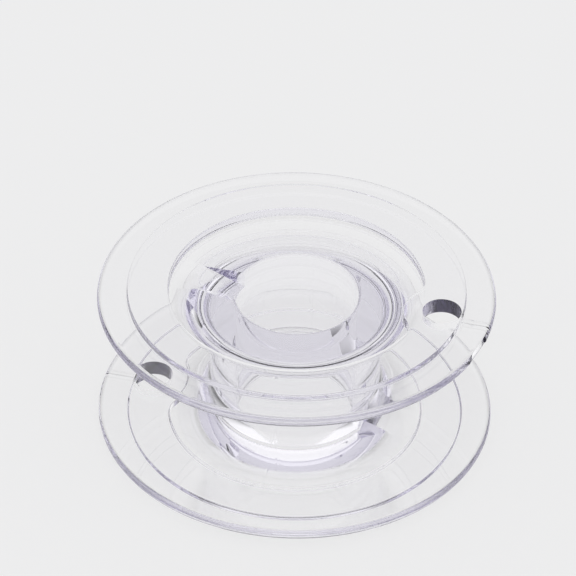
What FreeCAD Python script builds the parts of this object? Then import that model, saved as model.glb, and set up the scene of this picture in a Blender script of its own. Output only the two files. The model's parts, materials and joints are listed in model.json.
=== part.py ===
import FreeCAD, Part
import math
import os
import Sketcher

# A sewing machine bobbin, moulded in one piece from clear plastic: a tubular barrel between two round
# flanges, with a wide flare where the barrel runs into each flange. Each flange has a thin rim, a raised
# face ring, and a shallow round recess with the bore's mouth in its floor. A thread hole goes through
# the face ring, with a boss behind it that swells into the recess, and opposite the hole a notch ramps
# down into the bore. The two ends are alike, turned half a turn about Y. A gate flat is left on one rim.
# The body is drawn about its middle plane, with its axis along Z and the upper thread hole on +X, and
# its placement stands it on its lower face ring.

SIZES = {
    "overall_height": 8.6,
    "flange_diameter": 20.5,
    "flange_thickness": 0.85,
    "rim_thickness": 0.55,
    "step_diameter": 17.4,
    "step_chamfer": 0.1,
    "recess_diameter": 13.2,
    "recess_depth": 0.45,
    "recess_chamfer": 0.1,
    "barrel_diameter": 8.8,
    "barrel_flare": 2.2,
    "bore_diameter": 6.3,
    "bore_chamfer": 0.2,
    "thread_hole_diameter": 2.0,
    "boss_wall": 1.0,
    "boss_blend": 1.0,
    "notch_width": 1.9,
    "notch_length": 2.0,
    "notch_depth": 0.85,
    "gate_width": 2.0,
    "gate_depth": 0.15,
    "gate_angle": -11,
}

# Heights above the middle plane, then radii, as formulas of the sizes
FACE = "sizes.overall_height / 2"
FLANGE_INSIDE = f"{FACE} - sizes.flange_thickness"
RIM_FACE = f"{FLANGE_INSIDE} + sizes.rim_thickness"
RECESS_FLOOR = f"{FACE} - sizes.recess_depth"
RIM = "sizes.flange_diameter / 2"
RIM_BULGE = "0.51 * sizes.rim_thickness"
RIM_FOOT = f"{RIM} - {RIM_BULGE}"
STEP = "sizes.step_diameter / 2"
RECESS = "sizes.recess_diameter / 2"
BARREL = "sizes.barrel_diameter / 2"
BORE = "sizes.bore_diameter / 2"
HOLE = "sizes.thread_hole_diameter / 2"
HOLE_PLACE = "(sizes.recess_diameter + sizes.step_diameter) / 4"
BOSS = f"{HOLE} + sizes.boss_wall"
NOTCH_END = f"{BORE} + sizes.notch_length"
NOTCH_FOOT = f"{RECESS_FLOOR} - sizes.notch_depth * ({NOTCH_END} - {BORE} / 2) / sizes.notch_length"

# How a sketch names its origin, its X axis and the places on a line or arc
ORIGIN = (-1, 1)
X_AXIS = -1
START = 1
END = 2
CENTRE = 3
UP = FreeCAD.Vector(0, 0, 1)
ACROSS = FreeCAD.Vector(0, 1, 0)
TOLERANCE = 1e-5


def fill_sheet(doc):
    """Put each driving size in its own cell, under its own name."""
    sheet = doc.addObject("Spreadsheet::Sheet", "sizes")
    for row, (alias, value) in enumerate(SIZES.items(), start=1):
        sheet.set(f"A{row}", alias)
        sheet.set(f"B{row}", str(value))
        sheet.setAlias(f"B{row}", alias)
    doc.recompute()


def origin_feature(body, role):
    """The body's own origin plane or axis that has this role."""
    return next(item for item in body.Origin.OriginFeatures if item.Role == role)


def new_sketch(body, name, role, height=None, turn=None, about=UP):
    """A sketch on one of the body's origin planes, raised and turned about one of its own axes by formulas."""
    sketch = body.newObject("Sketcher::SketchObject", name)
    sketch.AttachmentSupport = [(origin_feature(body, role), "")]
    sketch.MapMode = "FlatFace"
    if height:
        sketch.setExpression("AttachmentOffset.Base.z", height)
    if turn:
        sketch.AttachmentOffset = FreeCAD.Placement(FreeCAD.Vector(), FreeCAD.Rotation(about, 1))
        sketch.setExpression("AttachmentOffset.Rotation.Angle", turn)
    return sketch


def tie(sketch, kind, *picked):
    """A geometric constraint of the sketch."""
    sketch.addConstraint(Sketcher.Constraint(kind, *picked))


def add_size(sketch, kind, *picked, formula):
    """A dimension of the sketch that follows a formula."""
    value = sketch.evalExpression(formula)
    index = sketch.addConstraint(Sketcher.Constraint(kind, *picked, value))
    sketch.setExpression(f"Constraints[{index}]", formula)


def draw_lines(sketch, points):
    """A closed outline of straight lines, each joined to the next."""
    first = sketch.GeometryCount
    for start, end in zip(points, points[1:] + points[:1]):
        sketch.addGeometry(Part.LineSegment(start, end), False)
    lines = list(range(first, sketch.GeometryCount))
    for line, following in zip(lines, lines[1:] + lines[:1]):
        tie(sketch, "Coincident", line, END, following, START)
    return lines


def draw_outline(sketch, corners):
    """The lines of a closed outline through corners that are pairs of formulas, across and up."""
    points = [FreeCAD.Vector(*map(sketch.evalExpression, corner)) for corner in corners]
    lines = draw_lines(sketch, points)
    for line, (across, up) in zip(lines, corners):
        add_size(sketch, "DistanceX", *ORIGIN, line, START, formula=across)
        if up == "0":
            tie(sketch, "PointOnObject", line, START, X_AXIS)
        else:
            add_size(sketch, "DistanceY", *ORIGIN, line, START, formula=up)
    return lines


def draw_bar(sketch, inner, outer, width):
    """A bar along X, from one distance to another, with its width shared by the two sides of the axis."""
    near, far, across = map(sketch.evalExpression, (inner, outer, width))
    corners = [(near, -across / 2), (far, -across / 2), (far, across / 2), (near, across / 2)]
    lower, end, upper, start = draw_lines(sketch, [FreeCAD.Vector(*corner) for corner in corners])
    tie(sketch, "Horizontal", lower)
    tie(sketch, "Horizontal", upper)
    tie(sketch, "Vertical", start)
    tie(sketch, "Symmetric", end, START, end, END, X_AXIS)
    add_size(sketch, "DistanceY", end, START, end, END, formula=width)
    add_size(sketch, "DistanceX", *ORIGIN, lower, START, formula=inner)
    add_size(sketch, "DistanceX", *ORIGIN, lower, END, formula=outer)


def draw_circle(sketch, radius, place=None):
    """A circle on the axis, or with its centre at a place along X."""
    across = sketch.evalExpression(place) if place else 0
    round_line = Part.Circle(FreeCAD.Vector(across, 0, 0), UP, sketch.evalExpression(radius))
    circle = sketch.addGeometry(round_line, False)
    add_size(sketch, "Radius", circle, formula=radius)
    if place:
        tie(sketch, "PointOnObject", circle, CENTRE, X_AXIS)
        add_size(sketch, "DistanceX", *ORIGIN, circle, CENTRE, formula=place)
    else:
        tie(sketch, "Coincident", circle, CENTRE, *ORIGIN)


def draw_arc(sketch, across, aside, radius, start, end):
    """An arc of a circle, counter-clockwise between two angles."""
    circle = Part.Circle(FreeCAD.Vector(across, aside, 0), UP, radius)
    return sketch.addGeometry(Part.ArcOfCircle(circle, start, end), False)


def bow_out(sketch, line, reach):
    """Put half an ellipse in the place of an upright line, which stays as its short axis, out to a reach."""
    low, high = sketch.getPoint(line, START), sketch.getPoint(line, END)
    middle = (low + high) / 2
    tip = FreeCAD.Vector(sketch.evalExpression(reach), middle.y)
    half = Part.ArcOfEllipse(Part.Ellipse(tip, high, middle), -math.pi / 2, math.pi / 2)
    bow = sketch.addGeometry(half, False)
    sketch.setConstruction(line, True)
    sketch.exposeInternalGeometry(bow)
    long_axis = bow + 1
    tie(sketch, "Coincident", bow, START, line, START)
    tie(sketch, "Coincident", bow, END, line, END)
    tie(sketch, "PointOnObject", bow, CENTRE, line)
    tie(sketch, "Horizontal", long_axis)
    outer = max(START, END, key=lambda end: sketch.getPoint(long_axis, end).x)
    add_size(sketch, "DistanceX", *ORIGIN, long_axis, outer, formula=reach)


def draw_recess(sketch):
    """The recess: a circle about the axis that gives way to the boss round the thread hole.

    Two blend arcs lie inside the circle and outside the boss, and touch both."""
    formulas = (RECESS, HOLE_PLACE, BOSS, "sizes.boss_blend")
    recess, place, boss, blend = map(sketch.evalExpression, formulas)
    reach = recess - blend
    angle = math.acos((reach**2 + place**2 - (boss + blend)**2) / (2 * reach * place))
    across = reach * math.cos(angle)
    aside = reach * math.sin(angle)
    lean = math.atan2(aside, place - across)
    wall = draw_arc(sketch, 0, 0, recess, angle, 2 * math.pi - angle)
    left = draw_arc(sketch, across, aside, blend, -lean, angle)
    swell = draw_arc(sketch, place, 0, boss, math.pi - lean, math.pi + lean)
    right = draw_arc(sketch, across, -aside, blend, -angle, lean)
    tie(sketch, "Coincident", wall, CENTRE, *ORIGIN)
    tie(sketch, "PointOnObject", swell, CENTRE, X_AXIS)
    add_size(sketch, "DistanceX", *ORIGIN, swell, CENTRE, formula=HOLE_PLACE)
    add_size(sketch, "Radius", wall, formula=RECESS)
    add_size(sketch, "Radius", swell, formula=BOSS)
    add_size(sketch, "Radius", left, formula="sizes.boss_blend")
    add_size(sketch, "Radius", right, formula="sizes.boss_blend")
    tie(sketch, "Tangent", left, END, wall, START)
    tie(sketch, "Tangent", left, START, swell, START)
    tie(sketch, "Tangent", right, END, swell, END)
    tie(sketch, "Tangent", right, START, wall, END)


def turn_blank(body):
    """The upper half of the barrel and its flange, turned from a half section whose rim bows out."""
    sketch = new_sketch(body, "half_section", "XZ_Plane")
    lines = draw_outline(sketch, [
        (RIM_FOOT, FLANGE_INSIDE),
        (RIM_FOOT, RIM_FACE),
        (STEP, RIM_FACE),
        (STEP, FACE),
        (BORE, FACE),
        (BORE, "0"),
        (BARREL, "0"),
        (BARREL, FLANGE_INSIDE),
    ])
    bow_out(sketch, lines[0], RIM)
    blank = body.newObject("PartDesign::Revolution", "blank")
    blank.Profile = sketch
    blank.ReferenceAxis = (sketch, ["V_Axis"])
    blank.Angle = 360
    body.Document.recompute()


def cut(body, name, sketch, depth, side="One side"):
    """A pocket down from its sketch, or to both sides of it, with a depth that is a formula."""
    before = body.Tip.Shape.Volume
    pocket = body.newObject("PartDesign::Pocket", name)
    pocket.Profile = sketch
    pocket.SideType = side
    pocket.setExpression("Length", depth)
    body.Document.recompute()
    if not pocket.Shape.Volume < before:
        raise RuntimeError(f"{name} cuts nothing")


def level_edges(shape, height, inner, outer):
    """The names of the edges that lie level at a height, between two radii."""
    names = []
    for number, edge in enumerate(shape.Edges, start=1):
        box = edge.BoundBox
        middle = edge.valueAt((edge.FirstParameter + edge.LastParameter) / 2)
        radius = math.hypot(middle.x, middle.y)
        level = max(abs(box.ZMin - height), abs(box.ZMax - height)) < TOLERANCE
        if level and inner - TOLERANCE < radius < outer + TOLERANCE:
            names.append(f"Edge{number}")
    return names


def ease_edges(body, kind, name, size, *places):
    """Round or chamfer the level edges at each place: a height, and a radius or an inner and an outer one."""
    base = body.Tip
    names = []
    for height, *radii in places:
        values = [base.evalExpression(formula) for formula in (height, radii[0], radii[-1])]
        names += level_edges(base.Shape, *values)
    if not names:
        raise RuntimeError(f"{name} finds no edge")
    feature = body.newObject(f"PartDesign::{kind}", name)
    feature.Base = (base, names)
    feature.setExpression("Radius" if kind == "Fillet" else "Size", f"sizes.{size}")
    body.Document.recompute()


def shape_end(body):
    """The flare, the recess, the thread hole and the notch of one end, with its eased edges."""
    ease_edges(body, "Fillet", "flare", "barrel_flare", (FLANGE_INSIDE, BARREL))
    ease_edges(body, "Chamfer", "step_edge", "step_chamfer", (FACE, STEP))
    recess = new_sketch(body, "recess_outline", "XY_Plane", FACE)
    draw_recess(recess)
    cut(body, "recess", recess, "sizes.recess_depth")
    ease_edges(body, "Chamfer", "recess_edge", "recess_chamfer", (FACE, BARREL, RECESS))
    ease_edges(body, "Chamfer", "bore_mouth", "bore_chamfer", (RECESS_FLOOR, BORE))

    hole = new_sketch(body, "thread_hole_outline", "XY_Plane", FACE)
    draw_circle(hole, HOLE, HOLE_PLACE)
    cut(body, "thread_hole", hole, "2 * sizes.flange_thickness")
    notch = new_sketch(body, "notch_outline", "XZ_Plane", turn="180", about=ACROSS)
    draw_outline(notch, [
        (NOTCH_END, RECESS_FLOOR),
        (NOTCH_END, FACE),
        (f"{BORE} / 2", FACE),
        (f"{BORE} / 2", NOTCH_FOOT),
    ])
    cut(body, "notch", notch, "sizes.notch_width", "Symmetric")


def main():
    doc = FreeCAD.newDocument("bobbin")
    fill_sheet(doc)
    body = doc.addObject("PartDesign::Body", "body")
    body.Label = "bobbin"
    body.setExpression("Placement.Base.z", FACE)

    turn_blank(body)
    shape_end(body)
    both_ends = body.newObject("PartDesign::PolarPattern", "both_ends")
    both_ends.TransformMode = "Whole shape"
    both_ends.Axis = (origin_feature(body, "Y_Axis"), [""])
    both_ends.Angle = 360
    both_ends.Occurrences = 2
    body.Tip = both_ends
    doc.recompute()
    gate = new_sketch(body, "gate_outline", "XY_Plane", FACE, "sizes.gate_angle")
    draw_bar(gate, f"{RIM} - sizes.gate_depth", f"{RIM} + sizes.gate_depth", "sizes.gate_width")
    cut(body, "gate_flat", gate, "sizes.flange_thickness")

    faulty = [item.Name for item in doc.Objects if {"Invalid", "Error"} & set(item.State)]
    if faulty or body.Shape.isNull() or not body.Shape.isValid():
        raise RuntimeError(f"the body is not sound: {faulty}")
    os.makedirs("parts", exist_ok=True)
    body.Shape.exportStep(f"parts/{body.Label}.step")


main()
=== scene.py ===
import json
import math

import bpy
import numpy as np
from bpy.props import FloatProperty, FloatVectorProperty, IntProperty, PointerProperty
from mathutils import Matrix, Vector


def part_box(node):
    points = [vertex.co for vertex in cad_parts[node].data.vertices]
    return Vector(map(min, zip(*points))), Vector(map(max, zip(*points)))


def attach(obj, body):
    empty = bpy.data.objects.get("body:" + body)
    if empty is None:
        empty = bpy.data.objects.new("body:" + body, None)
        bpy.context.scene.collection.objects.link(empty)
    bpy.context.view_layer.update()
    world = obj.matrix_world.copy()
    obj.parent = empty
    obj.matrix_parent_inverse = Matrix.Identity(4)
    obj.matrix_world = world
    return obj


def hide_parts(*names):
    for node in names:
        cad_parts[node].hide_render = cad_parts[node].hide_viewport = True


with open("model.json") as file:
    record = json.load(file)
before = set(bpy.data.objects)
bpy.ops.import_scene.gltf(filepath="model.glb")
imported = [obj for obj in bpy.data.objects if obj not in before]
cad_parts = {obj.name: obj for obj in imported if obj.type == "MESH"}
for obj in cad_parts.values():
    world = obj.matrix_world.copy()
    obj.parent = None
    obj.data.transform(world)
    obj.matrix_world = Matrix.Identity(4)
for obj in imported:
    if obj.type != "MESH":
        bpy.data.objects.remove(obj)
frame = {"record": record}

bl_info = {
    "name": "Sewing Machine Bobbin",
    "version": (1, 0, 0),
    "blender": (4, 5, 0),
    "location": "View3D > Sidebar > Bobbin",
    "description": "A clear moulded bobbin on a pale table under soft light",
    "category": "Object",
}

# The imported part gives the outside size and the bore
LOW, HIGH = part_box("bobbin")
BORE_MOUNT = next(mount for mount in frame["record"]["mounts"] if mount["name"] == "bore")
MM = 0.001

# The rim's thickness in millimetres, and how far its side bows out as a share of that
RIM = 0.55
RIM_BOW = 0.51

# Steps along each round of the section, and round a thread hole
MOUTH_STEPS = 6
EDGE_STEPS = 5
FOOT_STEPS = 4
RIM_STEPS = 16
FLARE_STEPS = 20
HOLE_STEPS = 96

# How far the cuts reach past a face ring, and the gate's cut below it, in flange thicknesses
CUT_REACH = 2
GATE_REACH = 1.5

# Edges that turn by more than this stay sharp
SHARP_ANGLE = math.radians(30)

# The noise of the flow marks, and that of the spots dulled by fingers: spots to a flow mark, and the noise
# levels at which a spot starts to dull and is dullest
FLOW_NOISE = {"Detail": 2.0, "Roughness": 0.45}
DULL_NOISE = {"Detail": 5.0, "Roughness": 0.6}
DULL_SPOTS = 3
DULL_START = 0.35
DULL_FULL = 0.75

# How often light may turn inside the clear plastic
BOUNCES = 32

# Pixels along each side of the picture that the camera frames, and the width of its film in millimetres
PICTURE = 576
FILM = 36


def length(name, description, millimetres):
    """A size in metres, with its default given in millimetres."""
    return FloatProperty(name=name, description=description, default=millimetres * MM, min=0,
                         precision=6, unit="LENGTH")


class BobbinSizes(bpy.types.PropertyGroup):
    """The bobbin's sizes, alike at both ends."""

    height: length("Height", "From face ring to face ring", (HIGH.z - LOW.z) / MM)
    flange_diameter: length("Flange diameter", "Over the rims", (HIGH.y - LOW.y) / MM)
    flange_thickness: length("Flange thickness", "From the face ring to the flange's inner side", 0.85)
    rim_thickness: length("Rim thickness", "Of the thin outer rim", RIM)
    rim_bulge: length("Rim bulge", "How far the rim's side bows out", RIM_BOW * RIM)
    step_diameter: length("Step diameter", "Outside of the raised face ring", 17.4)
    step_round: length("Step round", "Radius at the face ring's outer edge and foot", 0.05)
    recess_diameter: length("Recess diameter", "Inside of the raised face ring", 13.2)
    recess_depth: length("Recess depth", "From the face ring to the recess's floor", 0.45)
    recess_round: length("Recess round", "Radius at the recess's edge and foot", 0.06)
    barrel_diameter: length("Barrel diameter", "Outside of the tube that the thread is wound on", 8.8)
    barrel_flare: length("Barrel flare", "Radius where the barrel runs into a flange", 2.2)
    bore_diameter: length("Bore diameter", "Of the hole for the spindle", 2 * BORE_MOUNT["dims"]["r_mm"])
    bore_round: length("Bore round", "Radius at the bore's mouth", 0.2)
    hole_diameter: length("Thread hole diameter", "Of the hole through the face ring", 2.0)
    boss_wall: length("Boss wall", "Left round the thread hole inside the recess", 1.0)
    boss_blend: length("Boss blend", "Radius between the boss and the recess's wall", 1.0)
    notch_width: length("Notch width", "Across the notch that ramps down into the bore", 1.9)
    notch_length: length("Notch length", "From the bore's wall outwards", 2.0)
    notch_depth: length("Notch depth", "Below the recess's floor, at the bore's wall", 0.85)
    gate_width: length("Gate width", "Along the flat on the rim", 2.0)
    gate_depth: length("Gate depth", "Of the flat on the rim", 0.15)
    gate_angle: FloatProperty(name="Gate angle", description="Of the flat, from the upper thread hole",
                              default=math.radians(-11), subtype="ANGLE")
    turns: IntProperty(name="Turns", description="Steps round the axis", default=448, min=64, max=512)
    support: length("Support", "From a round to the loop that holds the flat beside it", 0.015)


class PlasticLook(bpy.types.PropertyGroup):
    """The clear plastic."""

    tint: FloatVectorProperty(
        name="Tint", description="What a long way through the plastic does to white light",
        default=(0.62, 0.585, 0.75), size=3, min=0, max=1, subtype="COLOR")
    density: FloatProperty(
        name="Density", description="How quickly the plastic takes that tint, per metre", default=58, min=0)
    ior: FloatProperty(
        name="Refraction", description="Index of refraction of the plastic", default=1.58, min=1)
    handled: FloatProperty(
        name="Handled roughness", description="Of the spots that fingers have dulled most",
        default=0.02, min=0, max=1, subtype="FACTOR")
    ripple: length("Ripple", "Height of the faint flow marks of moulding", 0.002)
    ripple_size: length("Ripple size", "From one flow mark to the next", 2.5)
    line_width: length("Line width", "Of the knit line and the parting line", 0.09)
    line_height: length("Line height", "Of the knit line and the parting line", 0.012)


class StageLook(bpy.types.PropertyGroup):
    """The table, the light and the camera."""

    table_colour: FloatVectorProperty(
        name="Table colour", description="The pale matt table",
        default=(0.85, 0.85, 0.855), size=3, min=0, max=1, subtype="COLOR")
    table_roughness: FloatProperty(
        name="Table roughness", description="Of the matt table", default=0.8, min=0, max=1, subtype="FACTOR")
    table_gloss: FloatProperty(
        name="Table gloss", description="How strongly the table reflects",
        default=0.2, min=0, max=1, subtype="FACTOR")
    table_glow: FloatProperty(
        name="Table glow", description="Share of the table's colour that no shadow takes",
        default=0.88, min=0, max=1, subtype="FACTOR")
    table_reach: length("Table reach", "From the bobbin's axis to the table's sides", 2000)
    table_gap: length("Table gap", "From the bobbin down to the table", 0.04)
    shade: FloatVectorProperty(
        name="Shaded side", description="The room's light from low down behind",
        default=(0.02, 0.02, 0.021), size=3, min=0, subtype="COLOR")
    lit: FloatVectorProperty(
        name="Lit side", description="The room's light from above and in front",
        default=(1.1, 1.1, 1.1), size=3, min=0, subtype="COLOR")
    lean: FloatProperty(
        name="Lean", description="How far the lit side leans towards the camera", default=0.45)
    shade_end: FloatProperty(
        name="Shade end", description="Where the shaded side starts to brighten", default=-0.05)
    lit_start: FloatProperty(name="Lit start", description="Where the light is full", default=0.4)
    azimuth: FloatProperty(
        name="Azimuth", description="Of the camera, from the upper thread hole",
        default=math.radians(-76.4), subtype="ANGLE")
    elevation: FloatProperty(
        name="Elevation", description="Of the camera above the table",
        default=math.radians(39.5), subtype="ANGLE")
    roll: FloatProperty(
        name="Roll", description="Of the camera about its view", default=math.radians(1.0), subtype="ANGLE")
    distance: length("Distance", "From the bobbin's middle to the camera", 254.3)
    nearest: length("Nearest", "From the camera to the nearest thing that it shows", 10)
    focal_pixels: FloatProperty(
        name="Focal length", description="In pixels of the picture", default=4905, min=1)
    middle_pixel: FloatVectorProperty(
        name="Middle pixel", description="Where the bobbin's middle is in the picture",
        default=(295.6, 351.5), size=2)


def arc(across, up, radius, start, end, steps, rise=None):
    """Points on a circle about (across, up), from one angle in degrees to another, both ends among them.

    A point at angle t is (across + radius cos t, up + radius sin t). With a rise, it is an ellipse with the
    radius as its half width and the rise as its half height."""
    angle = np.radians(np.linspace(start, end, steps + 1))
    return np.column_stack([across + radius * np.cos(angle), up + (rise or radius) * np.sin(angle)])


def upper_section(sizes):
    """The section's upper half as (radius, height above the middle) points, and each one's share of the boss.

    The line goes up the bore, out over the recess, the face ring and the rim, and back along the flange's
    inner side and down the flare to the barrel. Each round is part of a circle or an ellipse. Each flat ends
    a little before the rounds beside it in a support point. The points of the recess's wall and its two
    rounds have a share of 1 in the boss's swell, and all others 0."""
    face = sizes.height / 2
    floor = face - sizes.recess_depth
    inside = face - sizes.flange_thickness
    rim_face = inside + sizes.rim_thickness
    rim_middle = inside + sizes.rim_thickness / 2
    rim = sizes.flange_diameter / 2
    step = sizes.step_diameter / 2
    recess = sizes.recess_diameter / 2
    barrel = sizes.barrel_diameter / 2
    bore = sizes.bore_diameter / 2
    mouth = sizes.bore_round
    ease = sizes.recess_round
    turn = sizes.step_round
    bulge = sizes.rim_bulge
    flare = sizes.barrel_flare
    near = sizes.support
    stretches = [
        (0, [(bore, floor - mouth - near)]),
        (0, arc(bore + mouth, floor - mouth, mouth, 180, 90, MOUTH_STEPS)),
        (0, [(bore + mouth + near, floor)]),
        (1, [(recess - ease - near, floor)]),
        (1, arc(recess - ease, floor + ease, ease, -90, 0, FOOT_STEPS)),
        (1, [(recess, floor + ease + near), (recess, face - ease - near)]),
        (1, arc(recess + ease, face - ease, ease, 180, 90, EDGE_STEPS)),
        (1, [(recess + ease + near, face)]),
        (0, [(step - turn - near, face)]),
        (0, arc(step - turn, face - turn, turn, 90, 0, EDGE_STEPS)),
        (0, [(step, face - turn - near), (step, rim_face + turn + near)]),
        (0, arc(step + turn, rim_face + turn, turn, 180, 270, FOOT_STEPS)),
        (0, [(step + turn + near, rim_face), (rim - bulge - near, rim_face)]),
        (0, arc(rim - bulge, rim_middle, bulge, 90, -90, RIM_STEPS, sizes.rim_thickness / 2)),
        (0, [(rim - bulge - near, inside), (barrel + flare + near, inside)]),
        (0, arc(barrel + flare, inside - flare, flare, 90, 180, FLARE_STEPS)),
        (0, [(barrel, inside - flare - near)]),
    ]
    points = np.concatenate([np.asarray(line, float) for share, line in stretches])
    shares = np.concatenate([np.full(len(line), share, float) for share, line in stretches])
    return points, shares


def recess_radius(sizes, angle):
    """The recess wall's radius at angles from the thread hole.

    It is a circle about the axis, but for the boss, a circle about the thread hole, and a blend arc on each
    side that lies inside the first circle and outside the second and touches both. Each arc gives its radius
    by the cosine rule: the distance along a ray from the axis to a circle whose centre lies at a known
    distance."""
    recess = sizes.recess_diameter / 2
    place = (sizes.recess_diameter + sizes.step_diameter) / 4
    boss = sizes.hole_diameter / 2 + sizes.boss_wall
    blend = sizes.boss_blend
    reach = recess - blend
    ends = math.acos((reach**2 + place**2 - (boss + blend)**2) / (2 * reach * place))
    centre = reach * np.array([math.cos(ends), math.sin(ends)])
    touch = centre + (np.array([place, 0]) - centre) * blend / (boss + blend)
    starts = math.atan2(touch[1], touch[0])
    away = np.abs((angle + math.pi) % (2 * math.pi) - math.pi)
    swell = place * np.cos(away) - np.sqrt(np.maximum(boss**2 - (place * np.sin(away))**2, 0))
    side = away - ends
    bend = reach * np.cos(side) + np.sqrt(np.maximum(blend**2 - (reach * np.sin(side))**2, 0))
    return np.where(away < starts, swell, np.where(away < ends, bend, recess))


def bobbin_surface(sizes):
    """The turned bobbin as points and quads: the section carried round the axis.

    A point at angle t is (r cos t, r sin t, h), where r is the section's radius, lessened by the point's
    share of the boss's swell at t. The lower half is the upper one turned half a turn about Y: height h
    becomes -h, and the swell at t is the upper one's at pi - t."""
    points, shares = upper_section(sizes)
    angle = np.arange(sizes.turns) * (2 * math.pi / sizes.turns)
    recess = sizes.recess_diameter / 2
    swell = np.stack([recess_radius(sizes, angle), recess_radius(sizes, math.pi - angle)]) - recess
    radius = np.concatenate([
        points[:, 0] + swell[0][:, None] * shares,
        points[::-1, 0] + swell[1][:, None] * shares[::-1],
    ], axis=1)
    height = np.concatenate([points[:, 1], -points[::-1, 1]]) + LOW.z + sizes.height / 2
    grid = np.stack([
        radius * np.cos(angle)[:, None],
        radius * np.sin(angle)[:, None],
        np.broadcast_to(height, radius.shape),
    ], axis=-1)
    rows, columns = radius.shape
    here = np.arange(rows * columns).reshape(rows, columns)
    ahead = np.roll(here, -1, axis=0)
    quads = np.stack([here, np.roll(here, -1, axis=1), np.roll(ahead, -1, axis=1), ahead], axis=-1)
    return grid.reshape(-1, 3), quads.reshape(-1, 4).tolist()


def hole_outline(across, radius):
    """An outline of points on a circle about (across, 0), counter-clockwise."""
    return arc(across, 0, radius, 0, 360, HOLE_STEPS)[:-1]


def bar(inner, outer, width, turn):
    """A rectangle along a ray from the axis, between two distances, turned by an angle."""
    corners = np.array([(inner, -width / 2), (outer, -width / 2), (outer, width / 2), (inner, width / 2)])
    ahead = np.array([math.cos(turn), math.sin(turn)])
    return corners[:, :1] * ahead + corners[:, 1:] * np.array([-ahead[1], ahead[0]])


def prism(outline, low, high):
    """A closed prism as points and faces: a counter-clockwise outline carried up from low to high."""
    count = len(outline)
    points = np.concatenate([
        np.column_stack([outline, np.full(count, low)]),
        np.column_stack([outline, np.full(count, high)]),
    ])
    here = np.arange(count)
    ahead = np.roll(here, -1)
    sides = np.column_stack([here, ahead, ahead + count, here + count])
    return points, sides.tolist() + [here[::-1].tolist(), (here + count).tolist()]


def upright_prism(outline, width):
    """A closed prism along Y: a clockwise outline of (x, z) points, carried half the width to each side."""
    points, faces = prism(outline, -width / 2, width / 2)
    return points[:, [0, 2, 1]], faces


def cut_surface(sizes):
    """What is cut from the turned bobbin: both thread holes, both notches and the gate flat, as prisms.

    A notch's floor is a straight ramp from the recess's floor down into the bore. The lower end's hole and
    notch are the upper end's turned half a turn about Y: x becomes -x, and height h becomes the sum of the
    box's lowest and highest heights, less h."""
    face = HIGH.z
    over = CUT_REACH * sizes.flange_thickness
    groove = face - GATE_REACH * sizes.flange_thickness
    place = (sizes.recess_diameter + sizes.step_diameter) / 4
    bore = sizes.bore_diameter / 2
    rim = sizes.flange_diameter / 2
    turned = LOW.z + HIGH.z
    notch_end = bore + sizes.notch_length
    notch_edge = face - sizes.recess_depth
    notch_foot = notch_edge - sizes.notch_depth * (notch_end - bore / 2) / sizes.notch_length
    notch = np.array([
        (-notch_end, notch_edge),
        (-notch_end, face),
        (-bore / 2, face),
        (-bore / 2, notch_foot),
    ])
    prisms = [
        prism(hole_outline(place, sizes.hole_diameter / 2), face - over, face + over),
        prism(hole_outline(-place, sizes.hole_diameter / 2), turned - face - over, turned - face + over),
        upright_prism(notch, sizes.notch_width),
        upright_prism(np.array([0, turned]) - notch, sizes.notch_width),
        prism(bar(rim - sizes.gate_depth, rim + over, sizes.gate_width, sizes.gate_angle),
              groove, face + over),
    ]
    starts = np.cumsum([0] + [len(points) for points, sides in prisms])
    faces = [
        [corner + start for corner in side]
        for (points, sides), start in zip(prisms, starts)
        for side in sides
    ]
    return np.concatenate([points for points, sides in prisms]), faces


def add_object(name, points, faces):
    """An object of a new mesh, at the origin."""
    mesh = bpy.data.meshes.new(name)
    mesh.from_pydata(points.tolist(), [], faces)
    if mesh.validate():
        raise RuntimeError(f"{name} has faulty faces")
    piece = bpy.data.objects.new(name, mesh)
    bpy.context.scene.collection.objects.link(piece)
    return piece


def add_node(tree, kind, *values, **named):
    """A shader node whose inputs, in order or by name, are set to values or linked to nodes' outputs."""
    node = tree.nodes.new(kind)
    inputs = list(zip(node.inputs, values))
    inputs += [(node.inputs[name.replace("_", " ")], value) for name, value in named.items()]
    for socket, value in inputs:
        if isinstance(value, bpy.types.NodeSocket):
            tree.links.new(value, socket)
        else:
            socket.default_value = value
    return node


def calculate(tree, operation, *values):
    """A Math node's result from one, two or three values."""
    node = add_node(tree, "ShaderNodeMath", *values)
    node.operation = operation
    return node.outputs[0]


def ridge(tree, beside, width):
    """1 on a line, falling straight to 0 at the width on both of its sides."""
    share = calculate(tree, "DIVIDE", calculate(tree, "ABSOLUTE", beside), width)
    return calculate(tree, "SUBTRACT", 1.0, calculate(tree, "MINIMUM", share, 1.0))


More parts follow.
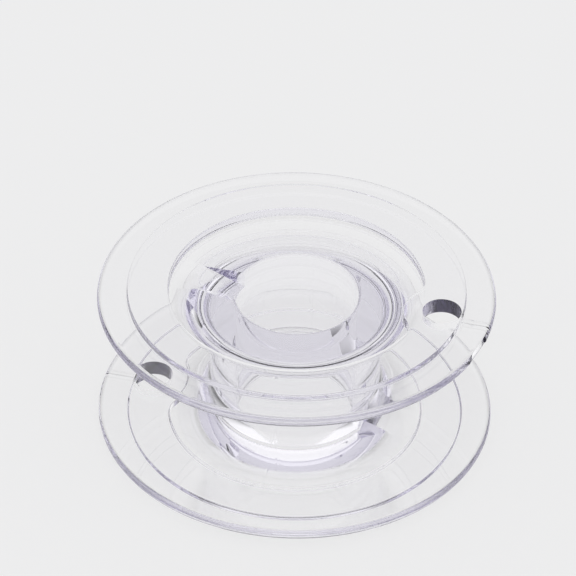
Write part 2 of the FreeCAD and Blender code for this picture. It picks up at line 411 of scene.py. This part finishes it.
def clear_plastic(look, sizes):
    """Clear violet-grey plastic, with the flow marks, knit lines and parting lines of moulding as relief."""
    material = bpy.data.materials.new("clear_plastic")
    material.use_nodes = True
    tree = material.node_tree
    plastic = tree.nodes["Principled BSDF"]
    output = tree.nodes["Material Output"]
    plastic.inputs["Base Color"].default_value = (1, 1, 1, 1)
    plastic.inputs["Transmission Weight"].default_value = 1
    plastic.inputs["IOR"].default_value = look.ior
    absorb = add_node(tree, "ShaderNodeVolumeAbsorption", Color=(*look.tint, 1), Density=look.density)
    tree.links.new(absorb.outputs[0], output.inputs["Volume"])

    place = tree.nodes.new("ShaderNodeTexCoord").outputs["Object"]
    axes = add_node(tree, "ShaderNodeSeparateXYZ", place).outputs
    marks = 1 / look.ripple_size
    ripple = add_node(tree, "ShaderNodeTexNoise", Vector=place, Scale=marks, **FLOW_NOISE)
    dulled = add_node(tree, "ShaderNodeTexNoise", Vector=place, Scale=DULL_SPOTS * marks, **DULL_NOISE)
    rough = add_node(tree, "ShaderNodeMapRange", Value=dulled.outputs["Fac"],
                     From_Min=DULL_START, From_Max=DULL_FULL, To_Min=0.0, To_Max=look.handled)
    tree.links.new(rough.outputs[0], plastic.inputs["Roughness"])

    # The knit line runs from each thread hole out over the rim, and the parting line up the barrel
    rise = calculate(tree, "SUBTRACT", axes["Z"], LOW.z + sizes.height / 2)
    same_end = calculate(tree, "GREATER_THAN", calculate(tree, "MULTIPLY", axes["X"], rise), 0.0)
    from_axis = calculate(tree, "ABSOLUTE", axes["X"])
    past_hole = calculate(tree, "GREATER_THAN", from_axis, sizes.step_diameter / 2)
    knit = calculate(tree, "MULTIPLY", calculate(tree, "MULTIPLY", same_end, past_hole),
                     ridge(tree, axes["Y"], look.line_width))
    groove = sizes.height / 2 - sizes.flange_thickness
    in_groove = calculate(tree, "LESS_THAN", calculate(tree, "ABSOLUTE", rise), groove)
    parting = calculate(tree, "MULTIPLY", in_groove, ridge(tree, axes["X"], look.line_width))
    lines = calculate(tree, "MULTIPLY", calculate(tree, "MAXIMUM", knit, parting), look.line_height)
    flow = calculate(tree, "MULTIPLY", ripple.outputs["Fac"], look.ripple)
    relief = calculate(tree, "ADD", flow, lines)
    bump = add_node(tree, "ShaderNodeBump", Strength=1.0, Distance=1.0, Height=relief)
    tree.links.new(bump.outputs[0], plastic.inputs["Normal"])
    return material


class BOBBIN_OT_bobbin(bpy.types.Operator):
    """Turn the bobbin, cut its holes, notches and gate flat, and give it its plastic"""

    bl_idname = "bobbin.bobbin"
    bl_label = "Bobbin"

    def execute(self, context):
        sizes = context.scene.bobbin_sizes
        turned = add_object("turned_bobbin", *bobbin_surface(sizes))
        cutter = add_object("cutter", *cut_surface(sizes))
        cut = turned.modifiers.new("cut", "BOOLEAN")
        cut.operation = "DIFFERENCE"
        cut.solver = "EXACT"
        cut.object = cutter
        graph = context.evaluated_depsgraph_get()
        mesh = bpy.data.meshes.new_from_object(turned.evaluated_get(graph))
        for scrap in (turned, cutter):
            bpy.data.objects.remove(scrap)
        if len(mesh.polygons) < sizes.turns:
            raise RuntimeError("the cuts leave no bobbin")
        mesh.name = "clear_bobbin"
        mesh.shade_smooth()
        mesh.set_sharp_from_angle(angle=SHARP_ANGLE)
        mesh.materials.clear()
        mesh.materials.append(clear_plastic(context.scene.bobbin_plastic, sizes))
        piece = bpy.data.objects.new("clear_bobbin", mesh)
        context.scene.collection.objects.link(piece)
        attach(piece, "root")
        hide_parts("bobbin")
        return {"FINISHED"}


class BOBBIN_OT_stage(bpy.types.Operator):
    """Lay the pale table, light the room from above and in front, and set up the camera"""

    bl_idname = "bobbin.stage"
    bl_label = "Stage"

    def execute(self, context):
        scene = context.scene
        look = scene.bobbin_stage
        reach = look.table_reach
        height = LOW.z - look.table_gap
        corners = np.array([
            (-reach, -reach, height),
            (reach, -reach, height),
            (reach, reach, height),
            (-reach, reach, height),
        ])
        table = add_object("table", corners, [[0, 1, 2, 3]])
        table.data.materials.append(pale_table(look))
        light_room(scene, look)
        aim_camera(scene, look)
        scene.cycles.max_bounces = BOUNCES
        scene.cycles.transmission_bounces = BOUNCES
        scene.cycles.glossy_bounces = BOUNCES
        scene.view_settings.view_transform = "Standard"
        return {"FINISHED"}


def pale_table(look):
    """A matt table that keeps a soft shadow and shows the rest of its colour evenly, also through plastic."""
    material = bpy.data.materials.new("pale_table")
    material.use_nodes = True
    tree = material.node_tree
    matt = tree.nodes["Principled BSDF"]
    matt.inputs["Base Color"].default_value = (*look.table_colour, 1)
    matt.inputs["Roughness"].default_value = look.table_roughness
    matt.inputs["Specular IOR Level"].default_value = look.table_gloss
    glow = add_node(tree, "ShaderNodeEmission", Color=(*look.table_colour, 1), Strength=1.0)
    ray = tree.nodes.new("ShaderNodeLightPath").outputs
    seen = calculate(tree, "MAXIMUM", ray["Is Camera Ray"],
                     calculate(tree, "MAXIMUM", ray["Is Glossy Ray"], ray["Is Transmission Ray"]))
    share = calculate(tree, "MULTIPLY", seen, look.table_glow)
    both = add_node(tree, "ShaderNodeMixShader", share, matt.outputs[0], glow.outputs[0])
    tree.links.new(both.outputs[0], tree.nodes["Material Output"].inputs["Surface"])
    return material


def light_room(scene, look):
    """Soft light, full from above and in front, and fading smoothly low down behind.

    The level at a direction is its dot product with the lit side, which leans towards the camera, stretched
    so that it is 0 at the shade's end and 1 where the light is full."""
    world = bpy.data.worlds.new("room")
    scene.world = world
    world.use_nodes = True
    tree = world.node_tree
    lit_side = (math.cos(look.azimuth) * look.lean, math.sin(look.azimuth) * look.lean, 1)
    direction = tree.nodes.new("ShaderNodeTexCoord").outputs["Generated"]
    along = add_node(tree, "ShaderNodeVectorMath", direction, lit_side)
    along.operation = "DOT_PRODUCT"
    level = add_node(tree, "ShaderNodeMapRange", Value=along.outputs["Value"],
                     From_Min=look.shade_end, From_Max=look.lit_start)
    light = add_node(tree, "ShaderNodeValToRGB", level.outputs[0])
    shaded, lit = light.color_ramp.elements
    shaded.color = (*look.shade, 1)
    lit.color = (*look.lit, 1)
    tree.links.new(light.outputs[0], tree.nodes["Background"].inputs["Color"])


def aim_camera(scene, look):
    """A long lens that looks at the bobbin's middle, rolled, and turned until the middle is at its pixel."""
    lens = bpy.data.cameras.new("camera")
    camera = bpy.data.objects.new("camera", lens)
    scene.collection.objects.link(camera)
    scene.camera = camera
    lens.sensor_width = FILM
    lens.lens = FILM * look.focal_pixels / PICTURE
    lens.clip_start = look.nearest
    level = math.cos(look.elevation)
    away = Vector((
        math.cos(look.azimuth) * level,
        math.sin(look.azimuth) * level,
        math.sin(look.elevation),
    ))
    camera.location = (LOW + HIGH) / 2 + away * look.distance
    yaw, pitch = (math.atan((pixel - PICTURE / 2) / look.focal_pixels) for pixel in look.middle_pixel)
    aim = Matrix.Rotation(look.roll, 3, "Z") @ Matrix.Rotation(pitch, 3, "X") @ Matrix.Rotation(yaw, 3, "Y")
    straight = (-away).to_track_quat("-Z", "Y").to_matrix()
    camera.rotation_euler = (straight @ aim).to_euler()


class BOBBIN_PT_sidebar(bpy.types.Panel):
    """The bobbin's steps and sizes in the sidebar"""

    bl_idname = "BOBBIN_PT_sidebar"
    bl_label = "Bobbin"
    bl_space_type = "VIEW_3D"
    bl_region_type = "UI"
    bl_category = "Bobbin"

    def draw(self, context):
        for operator in (BOBBIN_OT_bobbin, BOBBIN_OT_stage):
            self.layout.operator(operator.bl_idname)
        scene = context.scene
        for group in (scene.bobbin_sizes, scene.bobbin_plastic, scene.bobbin_stage):
            column = self.layout.column(align=True)
            for name in group.__annotations__:
                column.prop(group, name)


CLASSES = (BobbinSizes, PlasticLook, StageLook, BOBBIN_OT_bobbin, BOBBIN_OT_stage, BOBBIN_PT_sidebar)


def register():
    for item in CLASSES:
        bpy.utils.register_class(item)
    bpy.types.Scene.bobbin_sizes = PointerProperty(type=BobbinSizes)
    bpy.types.Scene.bobbin_plastic = PointerProperty(type=PlasticLook)
    bpy.types.Scene.bobbin_stage = PointerProperty(type=StageLook)


def unregister():
    del bpy.types.Scene.bobbin_stage
    del bpy.types.Scene.bobbin_plastic
    del bpy.types.Scene.bobbin_sizes
    for item in reversed(CLASSES):
        bpy.utils.unregister_class(item)


def main():
    """Make the bobbin and its stage."""
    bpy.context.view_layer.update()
    register()
    bpy.ops.bobbin.bobbin()
    bpy.ops.bobbin.stage()


if __name__ == "__main__":
    main()
